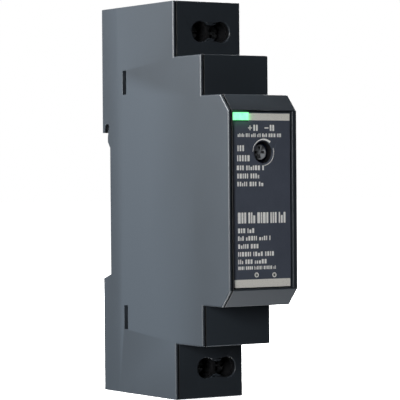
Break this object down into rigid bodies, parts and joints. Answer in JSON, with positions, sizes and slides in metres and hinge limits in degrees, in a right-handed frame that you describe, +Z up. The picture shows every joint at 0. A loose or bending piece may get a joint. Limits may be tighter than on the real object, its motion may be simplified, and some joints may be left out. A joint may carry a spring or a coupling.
{
  "type": "din rail power supply",
  "caption": "Slim stepped power supply module that clips on a 35 mm top-hat rail, with screw terminals at both ends, a lit window and a voltage adjuster.",
  "frame": {"origin": "centre of the flat floor behind the case that rests on the rail's flanges, at the rail's centre line and at mid-height", "axes": "+Z up along the case's height, -Y out of the front of the nose, +Y towards the rail, -X the snapped-on side cover"},
  "size_m": [0.018, 0.0545, 0.09],
  "materials": {
    "board_laminate": "solder resist over glass laminate",
    "capacitor_box": "moulded box",
    "capacitor_coating": "dipped coating",
    "capacitor_sleeve": "shrink sleeve over an aluminium can",
    "case_plastic": "fine satin moulding",
    "clear_film": "polyester film",
    "coupler_case": "moulded",
    "dark_moulding": "moulded",
    "enamelled_copper": "enamelled wire",
    "ferrite": "ground ferrite",
    "label_film": "satin printed film",
    "latch_plastic": "satin moulding",
    "resistor_lacquer": "lacquer",
    "rotor_plastic": "moulded",
    "screw_steel": "dark zinc plating",
    "spring_steel": "drawn wire",
    "thermistor_coating": "dipped coating",
    "tinned_brass": "tinned",
    "trimmer_plastic": "moulded",
    "winding_tape": "polyester tape",
    "window_plastic": "clear tinted, lit from behind",
    "zinc_steel": "zinc plated sheet"
  },
  "bodies": {
    "housing": {"bridge_rectifier": "dark_moulding", "bulk_capacitor": "capacitor_sleeve", "clamp_resistor": "resistor_lacquer", "controller_chip": "dark_moulding", "filter_choke_core": "ferrite", "filter_choke_winding": "enamelled_copper", "front_label": "label_film", "input_contact_line": "tinned_brass", "input_contact_neutral": "tinned_brass", "input_fuse": "dark_moulding", "input_terminal_body": "dark_moulding", "inrush_thermistor": "thermistor_coating", "insulation_film": "clear_film", "latch_spring": "spring_steel", "led_window": "window_plastic", "main_board": "board_laminate", "main_housing": "case_plastic", "optocoupler": "coupler_case", "output_capacitor_a": "capacitor_sleeve", "output_capacitor_b": "capacitor_sleeve", "output_choke_core": "ferrite", "output_choke_winding": "enamelled_copper", "output_contact_negative": "tinned_brass", "output_contact_positive": "tinned_brass", "output_rectifier": "dark_moulding", "output_terminal_body": "dark_moulding", "side_cover": "case_plastic", "status_led": "window_plastic", "transformer_bobbin": "dark_moulding", "transformer_core": "ferrite", "transformer_winding": "winding_tape", "trimmer_body": "trimmer_plastic", "x_capacitor": "capacitor_box", "y_capacitor": "capacitor_coating"},
    "input_cage_line": {"input_cage_line": "zinc_steel"},
    "input_cage_neutral": {"input_cage_neutral": "zinc_steel"},
    "input_screw_line": {"input_screw_line": "screw_steel"},
    "input_screw_neutral": {"input_screw_neutral": "screw_steel"},
    "output_cage_negative": {"output_cage_negative": "zinc_steel"},
    "output_cage_positive": {"output_cage_positive": "zinc_steel"},
    "output_screw_negative": {"output_screw_negative": "screw_steel"},
    "output_screw_positive": {"output_screw_positive": "screw_steel"},
    "rail_latch": {"rail_latch": "latch_plastic"},
    "trimmer_rotor": {"trimmer_rotor": "rotor_plastic"}
  },
  "joints": [
    {"name": "output_cage_positive_slide", "type": "slide", "parent": "housing", "child": "output_cage_positive", "axis": [0, -1, 0], "range_m": [0, 0.002]},
    {"name": "output_screw_positive_turn", "type": "hinge", "parent": "housing", "child": "output_screw_positive", "pos_m": [-0.0016, -0.0254, 0.0382], "axis": [0, 1, 0], "range_deg": [0, 1600]},
    {"name": "output_cage_negative_slide", "type": "slide", "parent": "housing", "child": "output_cage_negative", "axis": [0, -1, 0], "range_m": [0, 0.002]},
    {"name": "output_screw_negative_turn", "type": "hinge", "parent": "housing", "child": "output_screw_negative", "pos_m": [0.0038, -0.0254, 0.0382], "axis": [0, 1, 0], "range_deg": [0, 1600]},
    {"name": "input_cage_neutral_slide", "type": "slide", "parent": "housing", "child": "input_cage_neutral", "axis": [0, -1, 0], "range_m": [0, 0.002]},
    {"name": "input_screw_neutral_turn", "type": "hinge", "parent": "housing", "child": "input_screw_neutral", "pos_m": [-0.0007, -0.0254, -0.0382], "axis": [0, 1, 0], "range_deg": [0, 1600]},
    {"name": "input_cage_line_slide", "type": "slide", "parent": "housing", "child": "input_cage_line", "axis": [0, -1, 0], "range_m": [0, 0.002]},
    {"name": "input_screw_line_turn", "type": "hinge", "parent": "housing", "child": "input_screw_line", "pos_m": [0.0047, -0.0254, -0.0382], "axis": [0, 1, 0], "range_deg": [0, 1600]},
    {"name": "trimmer_turn", "type": "hinge", "parent": "housing", "child": "trimmer_rotor", "pos_m": [0.00035, -0.0502, 0.01055], "axis": [0, 1, 0], "range_deg": [-130, 130]},
    {"name": "latch_slide", "type": "slide", "parent": "housing", "child": "rail_latch", "axis": [0, 0, -1], "range_m": [0, 0.003], "stiffness_N_per_m": 800, "springref_m": -0.002, "deforming": ["latch_spring"]}
  ],
  "couplings": [
    {"joint": "output_screw_positive_turn", "follows": "output_cage_positive_slide", "rad_per_m": 13963},
    {"joint": "output_screw_negative_turn", "follows": "output_cage_negative_slide", "rad_per_m": 13963},
    {"joint": "input_screw_neutral_turn", "follows": "input_cage_neutral_slide", "rad_per_m": 13963},
    {"joint": "input_screw_line_turn", "follows": "input_cage_line_slide", "rad_per_m": 13963}
  ]
}
